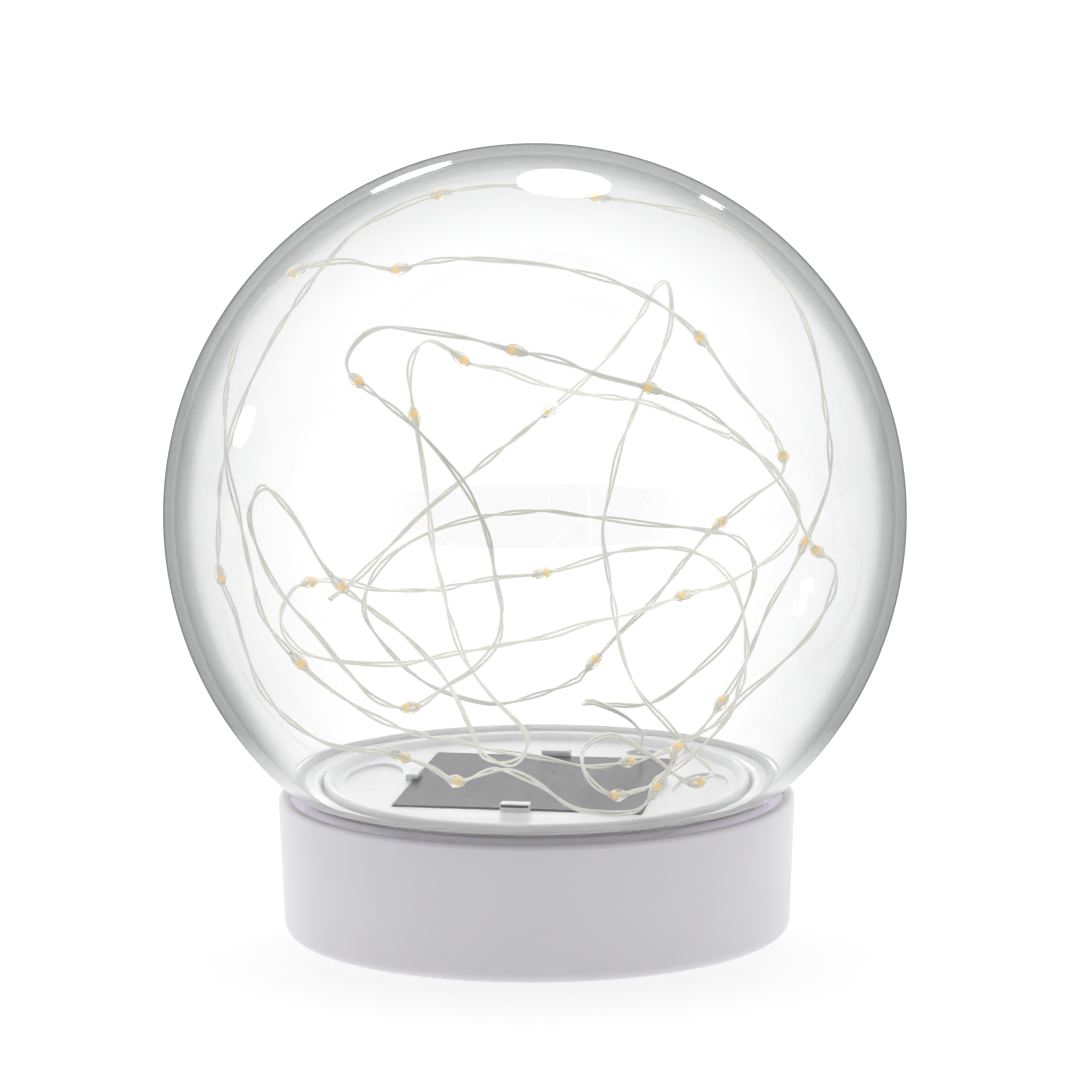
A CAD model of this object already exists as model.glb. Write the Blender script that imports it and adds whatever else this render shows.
"""Looks of the glass globe lamp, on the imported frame: glass, plastics, the light string and the studio.

Metres, in the frame's own axes. Heights and radii come from the frame's nodes.
"""

import bisect
import math

import bmesh
import bpy
from mathutils import Matrix, Vector


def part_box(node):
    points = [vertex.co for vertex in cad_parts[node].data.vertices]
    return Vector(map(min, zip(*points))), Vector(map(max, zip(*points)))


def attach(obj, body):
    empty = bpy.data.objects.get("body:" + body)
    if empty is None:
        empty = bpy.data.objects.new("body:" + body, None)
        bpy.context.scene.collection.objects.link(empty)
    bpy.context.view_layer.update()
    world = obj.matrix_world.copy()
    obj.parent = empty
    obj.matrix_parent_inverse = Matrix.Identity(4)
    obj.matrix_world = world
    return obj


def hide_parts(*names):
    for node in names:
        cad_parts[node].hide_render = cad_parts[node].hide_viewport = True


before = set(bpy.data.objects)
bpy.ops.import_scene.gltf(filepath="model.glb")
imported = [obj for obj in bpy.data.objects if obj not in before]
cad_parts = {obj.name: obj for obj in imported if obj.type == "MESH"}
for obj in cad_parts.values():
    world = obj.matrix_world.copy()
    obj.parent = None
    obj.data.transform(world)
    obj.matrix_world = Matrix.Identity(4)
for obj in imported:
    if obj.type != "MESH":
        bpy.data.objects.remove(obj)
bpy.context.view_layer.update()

# Studio
CAMERA_AZIMUTH = math.radians(9.5)
CAMERA_ELEVATION = math.radians(9.89)
CAMERA_ROLL = math.radians(-0.34)
CAMERA_DISTANCE = 1.5
CAMERA_LENS = 247.5             # mm, on a 36 mm sensor
CAMERA_AIM_HEIGHT = 0.0807
CAMERA_SIDE = 0.0010            # the camera stands this far to its right
FLOOR_SIZE = 30.0
FLOOR_GLOW = 0.70
SKY_FRONT = 0.08
SKY_SIDE = 0.95
SKY_BACK = 1.30
SKY_TILT = 0.7                  # how much the bright part leans to the back, and up
SKY_SPAN = (-0.35, 0.75)        # from the front's level to the back's
SIDE_SPAN = (0.55, 1.0)         # from the front's level to the side's
LAMP_DISTANCE = 2.0
LAMP_AIM_HEIGHT = 0.0858
HIGHLIGHTS = [                  # direction (right, up, towards the camera), size, brightness
    ("back_strip", (-0.17, 0.47, -0.87), (0.25, 0.16), 5.0),
    ("top_panel", (0.075, 0.82, -0.57), (0.46, 0.60), 3.2),
    ("right_spot", (0.27, 0.475, -0.84), (0.08, 0.10), 6.0),
    ("left_window", (-0.91, 0.285, -0.29), (0.20, 0.28), 3.5),
]

# Globe and collar
ROUND_STEPS = 192
GAP = 0.0003
GLOBE_RADIUS = 0.0750
GLASS_WALL = 0.0022
GLASS_ROUND = 0.0009            # the ground edge is this much narrower than the wall, on each side
GLASS_ROUND_TILT = 0.6          # degrees of the wall that the rounding takes
EDGE_CLEARANCE = 0.00005
COLLAR_WALL = 0.0018
COLLAR_BEAD = 0.0031
COLLAR_FIT = 0.0001
BEAD_RISE = 0.0034
BEAD_INNER_ROUND = 0.0019
BEAD_OUTER_ROUND = 0.0015
FLANGE_STEP = 0.0011            # the flange stands out this far over the skirt
FLANGE_THICKNESS = 0.0006
FLANGE_CHAMFER = 0.0002
LUG_HEIGHT = 0.0018
LUG_WIDTH = 0.0110
LUG_REACH = 0.0018
LUG_ROOT = 0.0008

# Base
RIM_WALL = 0.0024
RIM_ROUND = 0.0008
RIM_STEP = 0.0010               # the rim stands out this far over the foot
BOTTOM_ROUND = 0.0025
LIP_WIDTH = 0.0038
LOWER_WALL = 0.0023
COVER_PLAY = 0.0002
HOOK_HEIGHT = 0.0020
HOOK_WIDTH = 0.0100
HOOK_ROUND = 0.0003
HOOK_ROOT = 0.0006
LOCK_PLAY = 0.0004
LOCK_ANGLES = (99.5, 215.5, 343.5)
DECK_THICKNESS = 0.0016
DECK_DROP = 0.0012              # from the collar down to the deck
DECK_HOLE_RADIUS = 0.010

# Tray and panel
TRAY_WALL = 0.0016
RING_SLOPE = 0.0016
RING_FILLET = 0.0006
SHOULDER_HEIGHT = 0.0010
SHOULDER_ROUND = 0.0009
PANEL_FIT = 0.0003
POCKET_SINK = 0.0004            # the pocket's wall ends this far under the cells' face
TAB_WIDTH = 0.0060
TAB_NOSE = 0.0012
TAB_STEM = 0.0013
TAB_THICKNESS = 0.0010
DISH_PLACE = 0.0338
DISH_RADII = (0.0095, 0.0088)   # above the floor, at the bottom
DISH_STRETCH = (0.62, 1.5, 1.0)
DISH_DEPTH = 0.0006
CELL_STRIPS = 8
CELL_FINGERS = 22
STRIP_LINE = 0.00025            # half of each silver line's width
FINGER_LINE = 0.00008

# Glass and light string
EDGE_SHADE = (                  # how grazing the view is, share of shade
    (0.29, 0.05), (0.40, 0.065), (0.50, 0.09), (0.585, 0.115), (0.63, 0.13),
    (0.67, 0.20), (0.70, 0.32), (0.74, 0.52), (0.80, 0.60), (0.88, 0.60),
)
GLAND_PLACE = (0.0170, 0.0315)
GLAND_RISE = (0.0190, 0.0250, 0.0310, 0.0330)
STRING_STEP = 0.0012
STRAND_RADIUS = 0.00027
STRAND_SPREAD = 0.00040         # from the string's line to each strand's
TWIST_LENGTH = 0.028
BEAD_LENGTH = 0.0052
BEAD_RADIUS = 0.0013
CHIP_RADIUS = 0.00066
CHIP_PLACE = 0.17               # along the drop from its middle, as a share of its length

# The light string: each stretch's route, then where its lights are, measured along it
STRING_ROUTES = [
    [
        (0.017, 0.031, 0.035),
        (0.014, 0.028, 0.039), (0.008, 0.027, 0.042), (0.005, 0.031, 0.041), (0.010, 0.035, 0.040),
        (0.017, 0.036, 0.040), (0.023, 0.038, 0.043), (0.033, 0.043, 0.052), (0.037, 0.048, 0.060),
        (0.038, 0.052, 0.067), (0.034, 0.056, 0.072), (0.025, 0.061, 0.073), (0.014, 0.066, 0.073),
        (0.000, 0.068, 0.074), (-0.010, 0.068, 0.075), (-0.022, 0.065, 0.074), (-0.031, 0.060, 0.072),
        (-0.039, 0.053, 0.068), (-0.043, 0.047, 0.063), (-0.044, 0.043, 0.057), (-0.040, 0.041, 0.051),
        (-0.033, 0.038, 0.045), (-0.025, 0.037, 0.041), (-0.015, 0.037, 0.039), (-0.006, 0.038, 0.041),
        (0.002, 0.040, 0.044),
    ],
    [
        (0.003, 0.040, 0.045), (0.010, 0.043, 0.053), (0.017, 0.043, 0.060), (0.025, 0.041, 0.070),
        (0.031, 0.037, 0.077), (0.040, 0.031, 0.085), (0.047, 0.025, 0.091), (0.048, 0.018, 0.097),
        (0.046, 0.009, 0.104), (0.041, -0.001, 0.113), (0.035, -0.010, 0.124), (0.028, -0.015, 0.131),
        (0.019, -0.019, 0.136), (0.007, -0.020, 0.139), (-0.008, -0.018, 0.140),
        (-0.018, -0.015, 0.139), (-0.026, -0.013, 0.137), (-0.037, -0.010, 0.138),
        (-0.048, -0.009, 0.135), (-0.056, -0.013, 0.126), (-0.058, -0.022, 0.114),
        (-0.056, -0.032, 0.101), (-0.052, -0.039, 0.090), (-0.049, -0.042, 0.079),
        (-0.046, -0.044, 0.071), (-0.039, -0.047, 0.064), (-0.033, -0.048, 0.059),
        (-0.026, -0.046, 0.054), (-0.020, -0.042, 0.050), (-0.016, -0.038, 0.048),
    ],
    [
        (-0.015, -0.036, 0.047), (-0.012, -0.032, 0.046), (-0.006, -0.026, 0.043),
        (0.004, -0.019, 0.040), (0.013, -0.013, 0.037), (0.020, -0.007, 0.037), (0.025, 0.001, 0.037),
        (0.031, 0.009, 0.039), (0.036, 0.016, 0.045), (0.040, 0.021, 0.052), (0.044, 0.026, 0.062),
        (0.049, 0.028, 0.071), (0.052, 0.028, 0.077), (0.055, 0.028, 0.084), (0.057, 0.028, 0.092),
        (0.056, 0.026, 0.106), (0.053, 0.022, 0.122), (0.046, 0.018, 0.135), (0.036, 0.015, 0.144),
        (0.024, 0.017, 0.147), (0.011, 0.015, 0.149), (0.000, 0.010, 0.151), (-0.008, 0.005, 0.152),
        (-0.018, -0.001, 0.151), (-0.027, -0.004, 0.148), (-0.037, -0.004, 0.142),
        (-0.049, -0.005, 0.127), (-0.058, -0.005, 0.111), (-0.063, -0.007, 0.095),
        (-0.063, -0.011, 0.083), (-0.062, -0.015, 0.075), (-0.058, -0.019, 0.068),
        (-0.055, -0.023, 0.061), (-0.051, -0.025, 0.053), (-0.045, -0.028, 0.048),
        (-0.037, -0.030, 0.044), (-0.028, -0.031, 0.043),
    ],
    [
        (-0.027, -0.031, 0.043), (-0.022, -0.031, 0.042), (-0.016, -0.031, 0.040),
        (-0.010, -0.034, 0.038), (-0.001, -0.040, 0.042), (0.007, -0.042, 0.040),
        (0.013, -0.039, 0.035), (0.018, -0.035, 0.033), (0.025, -0.033, 0.033), (0.029, -0.034, 0.037),
        (0.032, -0.032, 0.042), (0.034, -0.029, 0.046), (0.040, -0.025, 0.049), (0.045, -0.021, 0.054),
        (0.051, -0.017, 0.059), (0.057, -0.013, 0.065), (0.061, -0.009, 0.072), (0.062, -0.011, 0.079),
        (0.059, -0.017, 0.083), (0.057, -0.021, 0.088), (0.054, -0.024, 0.096), (0.049, -0.030, 0.104),
        (0.043, -0.036, 0.111), (0.038, -0.040, 0.115), (0.030, -0.045, 0.119), (0.021, -0.050, 0.122),
        (0.014, -0.052, 0.125), (0.005, -0.053, 0.127), (-0.004, -0.052, 0.129),
        (-0.014, -0.050, 0.130), (-0.022, -0.047, 0.130), (-0.027, -0.046, 0.127),
        (-0.028, -0.050, 0.122), (-0.019, -0.058, 0.117), (-0.011, -0.064, 0.112),
        (-0.003, -0.068, 0.104), (0.001, -0.070, 0.098), (0.003, -0.070, 0.092), (0.004, -0.070, 0.086),
        (0.005, -0.069, 0.080),
    ],
    [
        (0.005, -0.069, 0.079), (0.004, -0.067, 0.073), (-0.001, -0.064, 0.067),
        (-0.008, -0.060, 0.062), (-0.015, -0.055, 0.057), (-0.022, -0.054, 0.058),
        (-0.028, -0.055, 0.064), (-0.034, -0.054, 0.071), (-0.041, -0.050, 0.077),
        (-0.046, -0.047, 0.084), (-0.049, -0.044, 0.092), (-0.046, -0.045, 0.098),
        (-0.039, -0.052, 0.094), (-0.033, -0.058, 0.087), (-0.028, -0.061, 0.082),
        (-0.022, -0.063, 0.078), (-0.015, -0.061, 0.072), (-0.010, -0.056, 0.065),
        (-0.007, -0.051, 0.058), (-0.005, -0.045, 0.050), (-0.004, -0.039, 0.0445),
        (0.000, -0.0355, 0.042), (0.003, -0.0325, 0.0435), (0.003, -0.0315, 0.048),
        (-0.003, -0.034, 0.055), (-0.008, -0.0365, 0.063), (-0.011, -0.035, 0.070),
        (-0.013, -0.032, 0.076), (-0.015, -0.031, 0.083), (-0.016, -0.031, 0.092),
        (-0.017, -0.032, 0.102), (-0.019, -0.031, 0.112), (-0.020, -0.028, 0.120),
        (-0.018, -0.022, 0.124), (-0.014, -0.019, 0.122), (-0.010, -0.017, 0.119),
        (-0.004, -0.012, 0.117), (0.001, -0.006, 0.114), (0.009, 0.005, 0.110), (0.019, 0.016, 0.107),
        (0.026, 0.024, 0.103), (0.035, 0.030, 0.098),
    ],
    [
        (0.036, 0.031, 0.098), (0.043, 0.031, 0.093), (0.049, 0.027, 0.087), (0.051, 0.022, 0.082),
        (0.049, 0.016, 0.078), (0.045, 0.011, 0.075), (0.038, 0.003, 0.072), (0.031, -0.005, 0.071),
        (0.023, -0.013, 0.069), (0.014, -0.022, 0.068), (0.006, -0.027, 0.066), (-0.012, -0.032, 0.063),
        (-0.022, -0.033, 0.061), (-0.033, -0.032, 0.061), (-0.043, -0.027, 0.062),
        (-0.048, -0.022, 0.067), (-0.047, -0.016, 0.072), (-0.044, -0.011, 0.073),
        (-0.040, -0.003, 0.072), (-0.034, 0.004, 0.069), (-0.030, 0.009, 0.068), (-0.023, 0.017, 0.067),
        (-0.013, 0.026, 0.068), (-0.004, 0.032, 0.068), (0.005, 0.037, 0.070), (0.012, 0.039, 0.072),
        (0.020, 0.038, 0.073), (0.026, 0.036, 0.073), (0.032, 0.033, 0.071), (0.037, 0.028, 0.067),
        (0.040, 0.022, 0.060), (0.041, 0.015, 0.053), (0.039, 0.006, 0.045), (0.035, 0.000, 0.040),
        (0.031, -0.006, 0.037), (0.027, -0.013, 0.035),
    ],
    [
        (0.026, -0.014, 0.034), (0.024, -0.019, 0.034), (0.019, -0.024, 0.034), (0.014, -0.024, 0.038),
        (0.013, -0.019, 0.042), (0.018, -0.015, 0.044), (0.026, -0.015, 0.040), (0.033, -0.015, 0.035),
        (0.037, -0.009, 0.035), (0.036, -0.002, 0.035), (0.031, 0.002, 0.038), (0.026, 0.004, 0.043),
        (0.021, 0.008, 0.047), (0.017, 0.014, 0.051), (0.014, 0.020, 0.057), (0.012, 0.025, 0.064),
        (0.010, 0.029, 0.071), (0.009, 0.031, 0.078), (0.010, 0.034, 0.085), (0.012, 0.035, 0.094),
        (0.016, 0.034, 0.104), (0.020, 0.031, 0.112), (0.024, 0.025, 0.121), (0.025, 0.018, 0.130),
        (0.024, 0.009, 0.132), (0.021, 0.000, 0.126), (0.015, -0.012, 0.118), (0.007, -0.026, 0.111),
        (-0.003, -0.037, 0.103), (-0.014, -0.046, 0.094), (-0.020, -0.050, 0.088),
        (-0.026, -0.052, 0.082), (-0.032, -0.051, 0.077),
    ],
]
LIGHTS_AT = [
    [],
    [0.004, 0.047, 0.076, 0.119, 0.187, 0.210, 0.301],
    [0.047, 0.077, 0.115, 0.218, 0.252, 0.350],
    [0.005, 0.018, 0.068, 0.077, 0.137, 0.193, 0.221, 0.266],
    [0.035, 0.125, 0.264, 0.291],
    [0.062, 0.170, 0.231],
    [0.011, 0.053, 0.243],
]


# Materials --------------------------------------------------------------------------------------


def nodes_of(name):
    """A new material's node tree, its Principled shader and its output."""
    made = bpy.data.materials.new(name)
    made.use_nodes = True
    tree = made.node_tree
    return made, tree, tree.nodes["Principled BSDF"], tree.nodes["Material Output"]


def link(tree, source, target):
    tree.links.new(source, target)


def noise(tree, scale, detail=4.0, stretch=(1.0, 1.0, 1.0)):
    """Noise over the object's own coordinates, in cells per metre."""
    place = tree.nodes.new("ShaderNodeTexCoord")
    mapping = tree.nodes.new("ShaderNodeMapping")
    mapping.inputs["Scale"].default_value = stretch
    texture = tree.nodes.new("ShaderNodeTexNoise")
    texture.inputs["Scale"].default_value = scale
    texture.inputs["Detail"].default_value = detail
    link(tree, place.outputs["Object"], mapping.inputs["Vector"])
    link(tree, mapping.outputs["Vector"], texture.inputs["Vector"])
    return texture.outputs["Fac"]


def coordinates(tree):
    """The object's own X, Y and Z."""
    place = tree.nodes.new("ShaderNodeTexCoord")
    parts = tree.nodes.new("ShaderNodeSeparateXYZ")
    link(tree, place.outputs["Object"], parts.inputs["Vector"])
    return parts.outputs


def maths(tree, operation, value, other=None):
    """The result for a linked value and another value, which is linked too or a number."""
    step = tree.nodes.new("ShaderNodeMath")
    step.operation = operation
    link(tree, value, step.inputs[0])
    if isinstance(other, float):
        step.inputs[1].default_value = other
    elif other is not None:
        link(tree, other, step.inputs[1])
    return step.outputs["Value"]


def ranged(tree, value, low, high, start=0.3, end=0.7):
    """The value's middle range, stretched from low to high."""
    step = tree.nodes.new("ShaderNodeMapRange")
    step.inputs["From Min"].default_value = start
    step.inputs["From Max"].default_value = end
    step.inputs["To Min"].default_value = low
    step.inputs["To Max"].default_value = high
    link(tree, value, step.inputs["Value"])
    return step.outputs["Result"]


def varied(tree, value, first, second):
    """A colour between two, by the value."""
    mix = tree.nodes.new("ShaderNodeMix")
    mix.data_type = "RGBA"
    mix.inputs["A"].default_value = (*first, 1.0)
    mix.inputs["B"].default_value = (*second, 1.0)
    link(tree, value, mix.inputs["Factor"])
    return mix.outputs["Result"]


def coloured(tree, shader, value, first, second):
    """Base colour between two, by the value's middle range."""
    link(tree, varied(tree, ranged(tree, value, 0, 1), first, second), shader.inputs["Base Color"])


def roughened(tree, shader, value, low, high):
    link(tree, ranged(tree, value, low, high), shader.inputs["Roughness"])


def bumped(tree, shader, height, strength, distance):
    bump = tree.nodes.new("ShaderNodeBump")
    bump.inputs["Strength"].default_value = strength
    bump.inputs["Distance"].default_value = distance
    link(tree, height, bump.inputs["Height"])
    link(tree, bump.outputs["Normal"], shader.inputs["Normal"])


def plastic(name, colour, roughness, bump=0.15, milky=0.0, clear=0.0, glow=0.0):
    """Moulded plastic: faint clouding, fine grain, and light inside it where it is milky or clear."""
    made, tree, shader, _ = nodes_of(name)
    cloud = noise(tree, 60.0)
    coloured(tree, shader, cloud, colour, tuple(c * (1 - 0.03) for c in colour))
    roughened(tree, shader, cloud, roughness * 0.92, roughness * 1.08)
    bumped(tree, shader, noise(tree, 900.0, 6.0), bump, 0.00005)
    shader.inputs["IOR"].default_value = 1.49
    shader.inputs["Subsurface Weight"].default_value = milky
    shader.inputs["Subsurface Radius"].default_value = (1.0, 0.95, 0.9)
    shader.inputs["Subsurface Scale"].default_value = 0.003
    shader.inputs["Transmission Weight"].default_value = clear
    shader.inputs["Emission Color"].default_value = (*colour, 1.0)
    shader.inputs["Emission Strength"].default_value = glow
    return made


def metal(name, colour, roughness, brush=(1.0, 1.0, 1.0)):
    """Bare metal with fine streaks, drawn out by brush."""
    made, tree, shader, _ = nodes_of(name)
    streak = noise(tree, 1400.0, 3.0, brush)
    coloured(tree, shader, streak, colour, tuple(c * 0.85 for c in colour))
    roughened(tree, shader, streak, roughness * 0.7, roughness * 1.3)
    bumped(tree, shader, streak, 0.1, 0.00003)
    shader.inputs["Metallic"].default_value = 1.0
    return made


def clear_glass(name, ripple, roughness=0.0, edge=None, fade=(0.0, 1.0)):
    """Clear glass that lamps shine straight through.

    With an edge colour, it is greyer towards its outline, above the fade heights.
    """
    made, tree, shader, output = nodes_of(name)
    shader.inputs["Base Color"].default_value = (1.0, 1.0, 1.0, 1.0)
    shader.inputs["Roughness"].default_value = roughness
    shader.inputs["IOR"].default_value = 1.47
    shader.inputs["Transmission Weight"].default_value = 1.0
    if ripple:
        bumped(tree, shader, noise(tree, 25.0, 2.0), ripple, 0.0002)
    surface = shader.outputs["BSDF"]
    if edge:
        above = ranged(tree, coordinates(tree)["Z"], 0.0, 1.0, *fade)
        shade = tree.nodes.new("ShaderNodeBsdfDiffuse")
        shade.inputs["Color"].default_value = (*edge, 1.0)
        share = maths(tree, "MULTIPLY", edge_share(tree), above)
        surface = blended(tree, share, surface, shade.outputs["BSDF"])
    passing = tree.nodes.new("ShaderNodeBsdfTransparent")
    passing.inputs["Color"].default_value = (0.93, 0.94, 0.93, 1.0)
    rays = tree.nodes.new("ShaderNodeLightPath")
    surface = blended(tree, rays.outputs["Is Shadow Ray"], surface, passing.outputs["BSDF"])
    link(tree, surface, output.inputs["Surface"])
    return made


def edge_share(tree):
    """How much shade the glass has, by how grazing the view of it is."""
    layer = tree.nodes.new("ShaderNodeLayerWeight")
    layer.inputs["Blend"].default_value = 0.5
    ramp = tree.nodes.new("ShaderNodeValToRGB")
    stops = ramp.color_ramp.elements
    stops[0].position, stops[0].color = 0.13, (0.0, 0.0, 0.0, 1.0)
    stops[1].position, stops[1].color = 1.0, (1.0, 1.0, 1.0, 1.0)
    for position, share in EDGE_SHADE:
        stops.new(position).color = (share, share, share, 1.0)
    link(tree, layer.outputs["Facing"], ramp.inputs["Fac"])
    return ramp.outputs["Color"]


def blended(tree, share, first, second):
    """Two shaders mixed, by the second one's share."""
    mix = tree.nodes.new("ShaderNodeMixShader")
    link(tree, share, mix.inputs["Fac"])
    link(tree, first, mix.inputs[1])
    link(tree, second, mix.inputs[2])
    return mix.outputs["Shader"]


def solar_face(name, low, high):
    """Dark cells in strips with thin silver lines, under glossy resin."""
    made, tree, shader, _ = nodes_of(name)
    parts = coordinates(tree)
    lines = []
    for axis, pitch, width in (
        ("X", (high.x - low.x) / CELL_STRIPS, STRIP_LINE),
        ("Y", (high.y - low.y) / CELL_FINGERS, FINGER_LINE),
    ):
        shifted = maths(tree, "ADD", parts[axis], pitch / 2)
        off_line = maths(tree, "PINGPONG", shifted, pitch / 2)
        lines.append(maths(tree, "LESS_THAN", off_line, width))
    silver = maths(tree, "MAXIMUM", *lines)
    colour = varied(tree, silver, (0.020, 0.020, 0.026), (0.075, 0.072, 0.075))
    link(tree, colour, shader.inputs["Base Color"])
    roughened(tree, shader, noise(tree, 700.0, 5.0), 0.16, 0.28)
    bumped(tree, shader, noise(tree, 90.0, 3.0), 0.10, 0.0002)
    shader.inputs["IOR"].default_value = 1.4
    shader.inputs["Specular IOR Level"].default_value = 0.25
    return made


def board_face(name, colour):
    """Solder mask with a faint weave under it."""
    made, tree, shader, _ = nodes_of(name)
    weave = noise(tree, 2500.0, 1.0)
    coloured(tree, shader, weave, colour, tuple(min(1.0, c * 1.5) for c in colour))
    roughened(tree, shader, weave, 0.35, 0.5)
    bumped(tree, shader, weave, 0.1, 0.00003)
    return made


def strand_metal():
    """Silvered wire in clear lacquer, with warmer and greyer runs."""
    made, tree, shader, _ = nodes_of("strand_metal")
    coloured(tree, shader, noise(tree, 55.0, 3.0), (0.92, 0.91, 0.83), (0.76, 0.755, 0.69))
    roughened(tree, shader, noise(tree, 900.0), 0.25, 0.45)
    shader.inputs["Coat Weight"].default_value = 0.7
    shader.inputs["Coat Roughness"].default_value = 0.08
    shader.inputs["Emission Color"].default_value = (1.0, 0.98, 0.90, 1.0)
    shader.inputs["Emission Strength"].default_value = 0.12
    return made


def resin():
    """Slightly cloudy clear resin."""
    made = clear_glass("resin", 0.3, 0.12)
    tree = made.node_tree
    shader = tree.nodes["Principled BSDF"]
    coloured(tree, shader, noise(tree, 500.0), (0.97, 0.96, 0.92), (0.88, 0.87, 0.82))
    shader.inputs["Transmission Weight"].default_value = 0.75
    return made


def phosphor():
    """Grainy yellow chip, faintly lit."""
    made, tree, shader, _ = nodes_of("phosphor")
    grain = noise(tree, 2600.0)
    coloured(tree, shader, grain, (0.95, 0.62, 0.11), (0.88, 0.50, 0.07))
    roughened(tree, shader, grain, 0.4, 0.6)
    shader.inputs["Emission Color"].default_value = (1.0, 0.72, 0.22, 1.0)
    shader.inputs["Emission Strength"].default_value = 0.4
    return made


# Shapes -----------------------------------------------------------------------------------------


def shown(name, data):
    """A new object in the scene."""
    made = bpy.data.objects.new(name, data)
    bpy.context.scene.collection.objects.link(made)
    return made


def placed(name, mesh, material, body, stands_for=()):
    """Puts a piece in the scene, and says what it rides on and which CAD nodes it stands for."""
    piece = shown(name, mesh)
    piece.data.materials.append(material)
    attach(piece, body)
    if stands_for:
        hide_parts(*stands_for)
    return piece


def arc(centre, radius, start_deg, end_deg, count):
    """Points on an arc in the profile plane, angles from the outward direction."""
    made = []
    for i in range(count + 1):
        angle = math.radians(start_deg + (end_deg - start_deg) * i / count)
        made.append((centre[0] + radius * math.cos(angle), centre[1] + radius * math.sin(angle)))
    return made


def turned_mesh(name, profile, closed=True, steps=ROUND_STEPS):
    """A turned shape: profile points (radius, z) run down the outer side."""
    guide = bpy.data.meshes.new(name + "_profile")
    count = len(profile)
    edges = [(i, i + 1) for i in range(count - 1)]
    if closed:
        edges.append((count - 1, 0))
    guide.from_pydata([(r, 0.0, z) for r, z in profile], edges, [])
    holder = shown(name + "_profile", guide)
    screw = holder.modifiers.new("turn", "SCREW")
    screw.steps = screw.render_steps = steps
    screw.use_merge_vertices = True
    screw.merge_threshold = 0.00001
    screw.use_smooth_shade = True
    return baked(holder, name)


def baked(holder, name):
    """The object's mesh with its modifiers in it; the object itself goes."""
    bpy.context.view_layer.update()
    evaluated = holder.evaluated_get(bpy.context.evaluated_depsgraph_get())
    mesh = bpy.data.meshes.new_from_object(evaluated)
    mesh.name = name
    bpy.data.objects.remove(holder)
    mesh.shade_smooth()
    mesh.set_sharp_from_angle(angle=math.radians(40))
    return mesh


def rounded_box(low, high, round_off, turn=0.0):
    """A box with rounded edges, as a temporary object, turned about the Z axis by turn degrees."""
    low, high = Vector(low), Vector(high)
    mesh = bpy.data.meshes.new("box")
    shape = bmesh.new()
    bmesh.ops.create_cube(shape, size=1.0)
    bmesh.ops.scale(shape, vec=high - low, verts=shape.verts)
    bmesh.ops.translate(shape, vec=(low + high) / 2, verts=shape.verts)
    if round_off:
        bmesh.ops.bevel(
            shape, geom=shape.edges, offset=round_off, segments=2, profile=0.5, affect="EDGES"
        )
    turned = Matrix.Rotation(math.radians(turn), 3, "Z")
    bmesh.ops.rotate(shape, matrix=turned, verts=shape.verts)
    shape.to_mesh(mesh)
    shape.free()
    return shown("box", mesh)


def combined(name, mesh, joined=(), cut=()):
    """The mesh with other objects joined to it and cut from it; those objects go."""
    holder = shown(name, mesh)
    for other, operation in [(o, "UNION") for o in joined] + [(o, "DIFFERENCE") for o in cut]:
        step = holder.modifiers.new("combine", "BOOLEAN")
        step.object = other
        step.operation = operation
    done = baked(holder, name)
    for other in (*joined, *cut):
        bpy.data.objects.remove(other)
    return done


# Base -------------------------------------------------------------------------------------------


def base_shell(material, well_material):
    """Outer wall with its rounded rim, the hooks and stops inside it, and the deck.

    The well's faces carry some of the light that comes through the wall.
    """
    low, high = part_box("base_housing")
    collar_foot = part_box("mouth_collar")[0].z
    rim, foot = high.x, high.x - RIM_STEP
    deck_top = collar_foot - DECK_DROP
    deck = deck_top - DECK_THICKNESS
    inner = foot - LOWER_WALL
    lip = foot - LIP_WIDTH
    lip_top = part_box("bottom_cover")[1].z + COVER_PLAY
    well = rim - RIM_WALL
    profile = [
        *arc((rim - RIM_ROUND, high.z - RIM_ROUND), RIM_ROUND, 90, 0, 8),
        *arc((foot - BOTTOM_ROUND, low.z + BOTTOM_ROUND), BOTTOM_ROUND, 0, -90, 12),
        (lip, low.z),
        (lip, lip_top),
        (inner, lip_top + inner - lip),
        (inner, deck),
        (DECK_HOLE_RADIUS, deck),
        (DECK_HOLE_RADIUS, deck_top),
        (well, deck_top),
        *arc((well + RIM_ROUND / 2, high.z - RIM_ROUND / 2), RIM_ROUND / 2, 180, 90, 5),
    ]
    hook_low = collar_foot + LUG_HEIGHT + LOCK_PLAY
    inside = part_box("bond_ring")[1].x - FLANGE_STEP + LOCK_PLAY
    hook = (-0.5, 0.5, hook_low)
    stop = (-0.76, -0.6, collar_foot)
    blocks = []
    for degrees in LOCK_ANGLES:
        for start, end, bottom in (hook, stop):
            corner = (inside, start * HOOK_WIDTH, bottom)
            far = (well + HOOK_ROOT, end * HOOK_WIDTH, hook_low + HOOK_HEIGHT)
            blocks.append(rounded_box(corner, far, HOOK_ROUND, degrees))
    mesh = combined("base_shell", turned_mesh("base_shell", profile), joined=blocks)
    piece = placed("base_shell", mesh, material, "base", ["base_housing"])
    mesh.materials.append(well_material)
    for face in mesh.polygons:
        across = math.hypot(face.center.x, face.center.y)
        inside_height = deck_top - GAP < face.center.z < high.z - RIM_ROUND / 2
        if inside_height and across < well + GAP / 2:
            face.material_index = 1
    return piece


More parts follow.
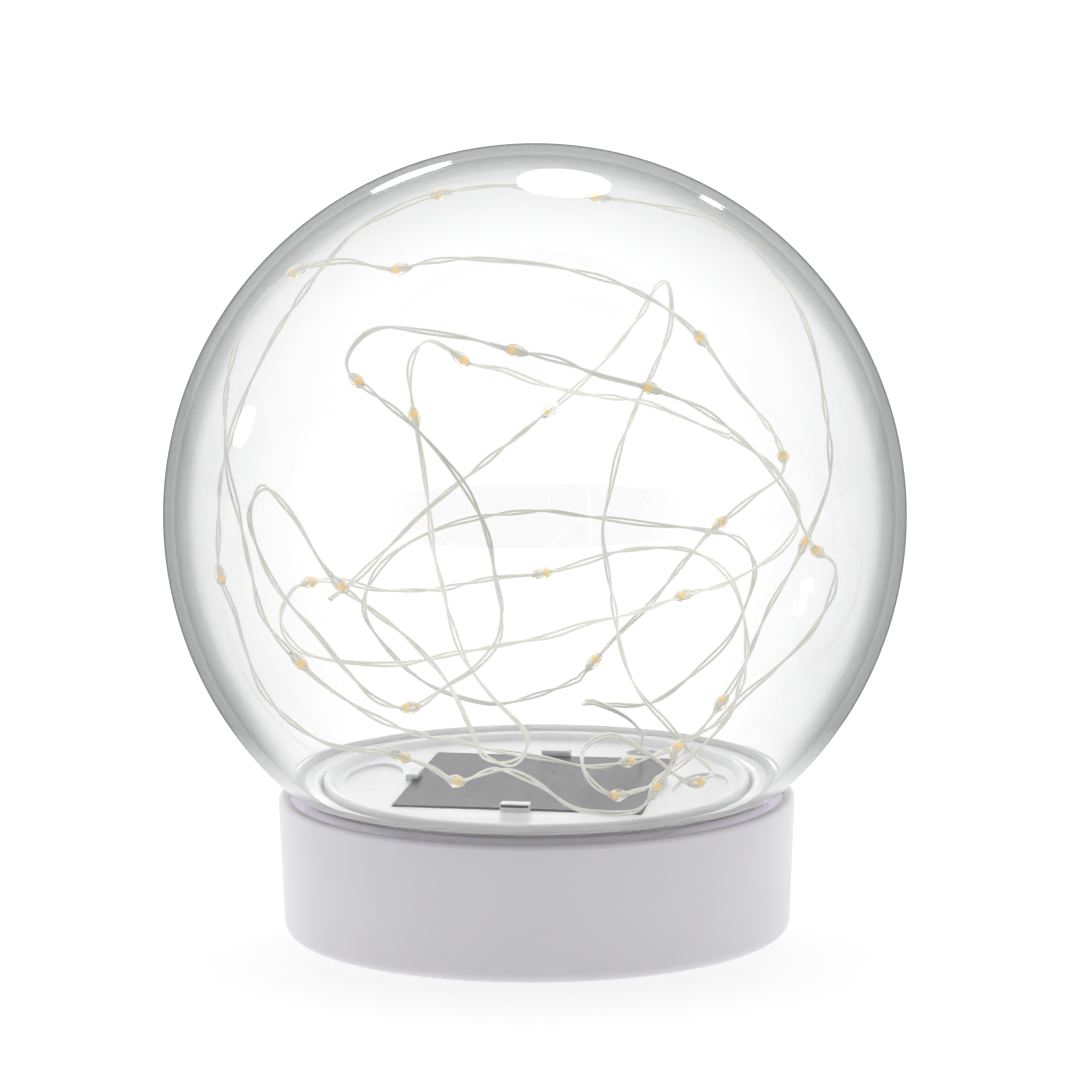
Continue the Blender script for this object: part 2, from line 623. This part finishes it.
def tray(material):
    """Milky disc with a raised outer ring, a square pocket, snap tabs and two shallow side dishes."""
    low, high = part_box("light_tray")
    cells_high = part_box("solar_cells")[1]
    radius = high.x
    shoulder = high.z
    top_face = shoulder - SHOULDER_HEIGHT - RING_FILLET
    ring_in = radius - TRAY_WALL
    plate = top_face - TRAY_WALL
    profile = [
        (0.0, top_face),
        (ring_in - RING_SLOPE, top_face),
        *arc((ring_in - RING_SLOPE, top_face + RING_FILLET), RING_FILLET, -90, -20, 3),
        *arc((radius - SHOULDER_ROUND, shoulder - SHOULDER_ROUND), SHOULDER_ROUND, 130, 0, 8),
        (radius, low.z),
        (ring_in, low.z),
        (ring_in, plate),
        (0.0, plate),
    ]
    half = cells_high.x + PANEL_FIT
    frame_half = half + TRAY_WALL
    pocket_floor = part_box("panel_board")[0].z - GAP
    tab_top = cells_high.z + GAP
    pocket_wall = rounded_box(
        (-frame_half, -frame_half, pocket_floor - TRAY_WALL),
        (frame_half, frame_half, cells_high.z - POCKET_SINK),
        0.0003,
    )
    nose = (half - TAB_NOSE, tab_top, tab_top + TAB_THICKNESS, 0.0002)
    stem = (half, top_face - 0.0005, tab_top + 0.0008, 0.0001)
    tabs = []
    for inside, bottom, top, round_off in (nose, stem):
        low_corner = (inside, -TAB_WIDTH / 2, bottom)
        high_corner = (half + TAB_STEM, TAB_WIDTH / 2, top)
        tabs += [rounded_box(low_corner, high_corner, round_off, 90 * i) for i in range(4)]
    pocket = rounded_box((-half, -half, pocket_floor), (half, half, tab_top), 0.0)
    disc = turned_mesh("tray", profile, closed=False)
    mesh = combined("tray", disc, joined=[pocket_wall], cut=[pocket])
    mesh = combined("tray", mesh, joined=tabs, cut=dishes(top_face))
    return placed("tray", mesh, material, "base", ["light_tray"])


def dishes(top_face):
    """The two shallow oval dishes to cut beside the pocket, as temporary objects."""
    top, bottom = top_face + 0.0030, top_face - DISH_DEPTH
    outline = [(0.0, top), (DISH_RADII[0], top), (DISH_RADII[1], bottom), (0.0, bottom)]
    made = []
    for side in (-1, 1):
        dish = shown("dish", turned_mesh("dish", outline, closed=False, steps=64))
        dish.location = (side * DISH_PLACE, 0.0, 0.0)
        dish.scale = DISH_STRETCH
        made.append(dish)
    return made


# Globe ------------------------------------------------------------------------------------------


def globe(material, edge_material):
    """Even blown wall, with its ground edge bedded in sealant."""
    low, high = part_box("glass_globe")
    radius = GLOBE_RADIUS
    centre = high.z - radius
    inner = radius - GLASS_WALL
    outer_tilt = math.degrees(math.asin((low.z - centre) / radius))
    inner_tilt = math.degrees(math.asin((low.z - centre) / inner))
    outer_side = arc((0.0, centre), radius, 90, outer_tilt + GLASS_ROUND_TILT, 110)
    inner_side = arc((0.0, centre), inner, inner_tilt + GLASS_ROUND_TILT, 90, 110)
    outer_side[0] = (0.0, high.z)
    inner_side[-1] = (0.0, centre + inner)
    edge = [
        (outer_side[-1][0] - GLASS_ROUND, low.z + EDGE_CLEARANCE),
        (inner_side[0][0] + GLASS_ROUND, low.z + EDGE_CLEARANCE),
    ]
    mesh = turned_mesh("globe", [*outer_side, *edge, *inner_side], closed=False)
    piece = placed("globe", mesh, material, "globe", ["glass_globe"])
    mesh.materials.append(edge_material)
    for face in mesh.polygons:
        if face.center.z < low.z + GAP:
            face.material_index = 1
    return piece


def collar(material):
    """Translucent collar in the mouth: rounded bead, flange, skirt and lugs."""
    low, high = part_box("mouth_collar")
    bond_low, bond_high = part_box("bond_ring")
    flange = bond_high.x
    skirt = flange - FLANGE_STEP
    outer = skirt - COLLAR_FIT
    inner = outer - COLLAR_BEAD
    flange_top = bond_low.z - GAP
    flange_low = flange_top - FLANGE_THICKNESS
    globe_low, globe_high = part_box("glass_globe")
    centre = globe_high.z - GLOBE_RADIUS
    clear = GLOBE_RADIUS - GLASS_WALL - 2 * GAP
    against_glass = [
        (math.sqrt(clear**2 - (globe_low.z + rise - centre) ** 2), globe_low.z + rise)
        for rise in (BEAD_RISE - BEAD_OUTER_ROUND, 0.0014, 0.0009)
    ]
    round_in, round_out = BEAD_INNER_ROUND, BEAD_OUTER_ROUND
    profile = [
        *arc((inner + round_in, high.z - round_in), round_in, 180, 90, 8),
        *arc((against_glass[0][0] - round_out, high.z - round_out), round_out, 90, 10, 8),
        *against_glass,
        (outer, globe_low.z + COLLAR_FIT),
        (outer, flange_top),
        (flange - FLANGE_CHAMFER, flange_top),
        (flange, flange_top - FLANGE_CHAMFER),
        (flange, flange_low),
        (skirt, flange_low),
        (skirt, low.z),
        (skirt - COLLAR_WALL, low.z),
        (skirt - COLLAR_WALL, flange_low - 0.0024),
        (inner, flange_low - 0.0010),
    ]
    lugs = [
        rounded_box(
            (skirt - LUG_ROOT, -LUG_WIDTH / 2, low.z + COLLAR_FIT),
            (skirt + LUG_REACH, LUG_WIDTH / 2, low.z + LUG_HEIGHT),
            HOOK_ROUND,
            degrees,
        )
        for degrees in LOCK_ANGLES
    ]
    mesh = combined("collar", turned_mesh("collar", profile), joined=lugs)
    return placed("collar", mesh, material, "globe", ["mouth_collar"])


# Light string -----------------------------------------------------------------------------------


def smooth_route(points):
    """A fine line on a smooth curve through the points, and the distance along it of each point."""
    knots = [Vector(p) for p in points]
    knots = [2 * knots[0] - knots[1], *knots, 2 * knots[-1] - knots[-2]]
    steps = 16
    line = []
    for a, b, c, d in zip(knots, knots[1:], knots[2:], knots[3:]):
        for i in range(steps):
            t = i / steps
            bend = (2 * a - 5 * b + 4 * c - d) * t**2 + (3 * b - a - 3 * c + d) * t**3
            line.append(b + 0.5 * ((c - a) * t + bend))
    line.append(knots[-2])
    reach = [0.0]
    for a, b in zip(line, line[1:]):
        reach.append(reach[-1] + (b - a).length)
    return line, reach


def point_along(line, reach, distance):
    """The point at a distance along the line."""
    at = min(max(1, bisect.bisect_right(reach, distance)), len(line) - 1)
    share = (distance - reach[at - 1]) / (reach[at] - reach[at - 1])
    return line[at - 1].lerp(line[at], max(0.0, min(1.0, share)))


def carried_frames(line):
    """Two directions across the line at each point, carried along it without twisting."""
    frames = []
    side = None
    for i in range(len(line)):
        ahead = (line[min(i + 1, len(line) - 1)] - line[max(i - 1, 0)]).normalized()
        if side is None:
            side = ahead.orthogonal().normalized()
        side = (side - ahead * side.dot(ahead)).normalized()
        frames.append((ahead, side, ahead.cross(side)))
    return frames


def tube_into(shape, line, radius, sides=8):
    """Adds a round tube along the line, with closed ends."""
    rings = []
    for point, (_, side, up) in zip(line, carried_frames(line)):
        ring = []
        for j in range(sides):
            angle = 2 * math.pi * j / sides
            out = math.cos(angle) * side + math.sin(angle) * up
            ring.append(shape.verts.new(point + radius * out))
        rings.append(ring)
    for near, far in zip(rings, rings[1:]):
        for j in range(sides):
            k = (j + 1) % sides
            shape.faces.new((near[j], near[k], far[k], far[j]))
    shape.faces.new(list(reversed(rings[0])))
    shape.faces.new(rings[-1])


def finished(shape, name):
    """The shape as a smooth mesh, with its faces outward."""
    mesh = bpy.data.meshes.new(name)
    bmesh.ops.recalc_face_normals(shape, faces=shape.faces)
    shape.to_mesh(mesh)
    shape.free()
    mesh.shade_smooth()
    return mesh


def light_string(wire, drop, spot):
    """Two strands that wind round each other, and at each light a drop of resin over a yellow chip."""
    route, lights = [], []
    for stretch, marks in zip(STRING_ROUTES, LIGHTS_AT):
        start = smooth_route([*route, *stretch[:1]])[1][-1] if route else 0.0
        lights += [start + mark for mark in marks]
        route += stretch
    route = [*((*GLAND_PLACE, z) for z in GLAND_RISE), *route]
    rise = smooth_route(route[: len(GLAND_RISE) + 1])[1][-1]
    lights = [mark + rise for mark in lights]
    line, reach = smooth_route(route)
    length = reach[-1]
    count = round(length / STRING_STEP)
    stops = [length * i / count for i in range(count + 1)]
    centre = [point_along(line, reach, s) for s in stops]
    frames = carried_frames(centre)
    shape = bmesh.new()
    for half in (0, 1):
        strand = []
        for s, point, (_, side, up) in zip(stops, centre, frames):
            wander = 0.9 * math.sin(s * 130)
            angle = 2 * math.pi * (s / TWIST_LENGTH + half / 2) + wander
            spread = STRAND_SPREAD * (0.85 + 0.35 * math.sin(s * 210 + half))
            strand.append(point + spread * (math.cos(angle) * side + math.sin(angle) * up))
        tube_into(shape, strand, STRAND_RADIUS)
    solids = [f"light_string_{number}" for number in range(1, len(STRING_ROUTES) + 1)]
    piece = placed("wires", finished(shape, "wires"), wire, "base", solids)
    drops(line, reach, lights, drop)
    chips(line, reach, lights, spot)


def light_place(line, reach, light, shift=0.0):
    """The point at a shift along the line from a light, and the turn that lines Z up with the line."""
    at = point_along(line, reach, light + shift)
    ahead = point_along(line, reach, light + 0.001) - point_along(line, reach, light - 0.001)
    return at, ahead.normalized().to_track_quat("Z", "Y").to_matrix()


def drops(line, reach, lights, drop):
    """Teardrops of resin along the line, blunt at the chip's end."""
    shape = bmesh.new()
    for light in lights:
        at, turn = light_place(line, reach, light)
        made = bmesh.ops.create_uvsphere(shape, u_segments=20, v_segments=14, radius=1.0)["verts"]
        for vert in made:
            x, y, z = vert.co
            thin = 1.0 - 0.38 * max(0.0, -z) - 0.10 * abs(z)
            local = Vector((x * BEAD_RADIUS * thin, y * BEAD_RADIUS * thin, z * BEAD_LENGTH / 2))
            vert.co = at + turn @ local
    return placed("drops", finished(shape, "drops"), drop, "base")


def chips(line, reach, lights, spot):
    """The lights' yellow chips, each a rounded cushion inside its drop."""
    shape = bmesh.new()
    for light in lights:
        at, turn = light_place(line, reach, light, BEAD_LENGTH * CHIP_PLACE)
        made = bmesh.ops.create_icosphere(shape, subdivisions=2, radius=1.0)["verts"]
        for vert in made:
            x, y, z = vert.co
            vert.co = at + turn @ Vector((x * CHIP_RADIUS, y * CHIP_RADIUS, z * CHIP_RADIUS * 1.15))
    return placed("chips", finished(shape, "chips"), spot, "base")


# Studio -----------------------------------------------------------------------------------------


def studio():
    """The camera, the sky, the floor and the lamps that make the glass's highlights."""
    scene = bpy.context.scene
    scene.view_settings.view_transform = "Standard"
    away = Vector((-math.sin(CAMERA_AZIMUTH), math.cos(CAMERA_AZIMUTH), 0.0))
    right = Vector((math.cos(CAMERA_AZIMUTH), math.sin(CAMERA_AZIMUTH), 0.0))
    back = -away * math.cos(CAMERA_ELEVATION) + Vector((0, 0, math.sin(CAMERA_ELEVATION)))
    camera = shown("camera", bpy.data.cameras.new("camera"))
    camera.data.lens = CAMERA_LENS
    camera.data.clip_start, camera.data.clip_end = 0.05, 60.0
    aim = Vector((0, 0, CAMERA_AIM_HEIGHT))
    camera.location = aim + right * CAMERA_SIDE + back * CAMERA_DISTANCE
    camera.rotation_mode = "QUATERNION"
    facing = (-back).to_track_quat("-Z", "Y").to_matrix() @ Matrix.Rotation(CAMERA_ROLL, 3, "Z")
    camera.rotation_quaternion = facing.to_quaternion()
    scene.camera = camera
    sky(away, right)
    floor()
    up = back.cross(right)
    for name, (across, rise, near), size, glow in HIGHLIGHTS:
        softbox(name, right * across + up * rise + back * near, size, glow)


def sky(away, right):
    """Soft light all round, brighter behind the object and at its sides than in front of it."""
    world = bpy.data.worlds.new("studio")
    bpy.context.scene.world = world
    world.use_nodes = True
    tree = world.node_tree
    shade = tree.nodes["Background"]
    place = tree.nodes.new("ShaderNodeTexCoord")
    dot = tree.nodes.new("ShaderNodeVectorMath")
    dot.operation = "DOT_PRODUCT"
    dot.inputs[1].default_value = (SKY_TILT * away.x, SKY_TILT * away.y, SKY_TILT)
    link(tree, place.outputs["Generated"], dot.inputs[0])
    level = tree.nodes.new("ShaderNodeMapRange")
    level.interpolation_type = "SMOOTHSTEP"
    level.inputs["From Min"].default_value, level.inputs["From Max"].default_value = SKY_SPAN
    level.inputs["To Min"].default_value = SKY_FRONT
    level.inputs["To Max"].default_value = SKY_BACK
    link(tree, dot.outputs["Value"], level.inputs["Value"])
    across = tree.nodes.new("ShaderNodeVectorMath")
    across.operation = "DOT_PRODUCT"
    across.inputs[1].default_value = right
    link(tree, place.outputs["Generated"], across.inputs[0])
    either_side = maths(tree, "ABSOLUTE", across.outputs["Value"])
    side = ranged(tree, either_side, SKY_FRONT, SKY_SIDE, *SIDE_SPAN)
    brightest = maths(tree, "MAXIMUM", level.outputs["Result"], side)
    link(tree, brightest, shade.inputs["Strength"])
    shade.inputs["Color"].default_value = (1.0, 1.0, 1.0, 1.0)


def floor():
    """A wide pale floor with faint mottling."""
    made, tree, shader, _ = nodes_of("floor")
    coloured(tree, shader, noise(tree, 3.0), (0.36, 0.36, 0.365), (0.35, 0.35, 0.355))
    shader.inputs["Roughness"].default_value = 0.9
    shader.inputs["Specular IOR Level"].default_value = 0.0
    shader.inputs["Emission Color"].default_value = (1.0, 1.0, 1.0, 1.0)
    shader.inputs["Emission Strength"].default_value = FLOOR_GLOW
    mesh = bpy.data.meshes.new("floor")
    shape = bmesh.new()
    bmesh.ops.create_grid(shape, x_segments=1, y_segments=1, size=FLOOR_SIZE / 2)
    shape.to_mesh(mesh)
    shape.free()
    mesh.materials.append(made)
    ground = shown("floor", mesh)
    ground.location.z = -0.0001


def softbox(name, direction, size, glow):
    """A lamp that faces the globe from the direction; glow is its brightness against the floor's."""
    data = bpy.data.lights.new(name, "AREA")
    data.shape = "ELLIPSE"
    data.size, data.size_y = size
    data.energy = glow * math.pi * size[0] * size[1]
    lamp = shown(name, data)
    lamp.location = Vector((0, 0, LAMP_AIM_HEIGHT)) + direction.normalized() * LAMP_DISTANCE
    lamp.rotation_mode = "QUATERNION"
    lamp.rotation_quaternion = (-direction).to_track_quat("-Z", "Y")


def repaint(names, material):
    """Gives CAD nodes that stay as they are their material."""
    for name in names:
        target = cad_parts[name]
        target.data.materials.clear()
        target.data.materials.append(material)


def main():
    """Materials, then the pieces that replace CAD nodes, then the nodes that keep their shape."""
    white = plastic("white_plastic_look", (0.79, 0.775, 0.815), 0.30, bump=0.02)
    well = plastic("well_look", (0.88, 0.845, 0.915), 0.35, bump=0.02, glow=0.26)
    milky = plastic("milky_plastic_look", (0.92, 0.91, 0.935), 0.20, milky=0.6, clear=0.12)
    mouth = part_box("glass_globe")[0].z
    fade = (mouth + 0.0010, mouth + 0.0160)
    glass = clear_glass("globe_glass", 0.05, edge=(0.06, 0.075, 0.065), fade=fade)
    frosted = plastic("frosted_look", (0.96, 0.955, 0.97), 0.16, milky=0.7, clear=0.35)
    sealant = plastic("sealant", (0.86, 0.87, 0.86), 0.3, milky=0.6, clear=0.5)
    rubber = plastic("rubber_look", (0.26, 0.26, 0.27), 0.8, bump=0.4)
    black = plastic("black_look", (0.02, 0.02, 0.02), 0.4)
    red = plastic("red_look", (0.50, 0.03, 0.03), 0.35)
    jacket = plastic("jacket_look", (0.10, 0.34, 0.16), 0.3)
    foam = plastic("foam_look", (0.10, 0.10, 0.10), 0.95, bump=0.8)
    steel = metal("steel_look", (0.56, 0.57, 0.58), 0.3, (1, 6, 1))
    nickel = metal("nickel_look", (0.68, 0.66, 0.62), 0.22)
    ferrite = metal("ferrite_look", (0.14, 0.14, 0.15), 0.6)
    board = board_face("board_look", (0.03, 0.15, 0.07))
    cells = solar_face("cells_look", *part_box("solar_cells"))
    base_shell(white, well)
    tray(milky)
    collar(frosted)
    globe(glass, sealant)
    light_string(strand_metal(), resin(), phosphor())
    repaint(["solar_cells"], cells)
    repaint(["panel_board", "circuit_board"], board)
    repaint(["bond_ring", "string_gland"], sealant)
    repaint(["foot_1", "foot_2", "foot_3"], rubber)
    repaint(["bottom_cover", "battery_door", "battery_box", "switch_slider"], white)
    repaint(["switch_body", "driver_chip", "capacitor"], black)
    repaint(["panel_lead_black", "battery_lead_black"], black)
    repaint(["panel_lead_red", "battery_lead_red"], red)
    repaint(["battery_cell"], jacket)
    repaint(["door_pad"], foam)
    repaint(["inductor"], ferrite)
    repaint(["contact_plus", "contact_minus", "contact_spring"], nickel)
    screws = [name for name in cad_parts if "_screw_" in name]
    repaint(screws, steel)
    studio()


main()
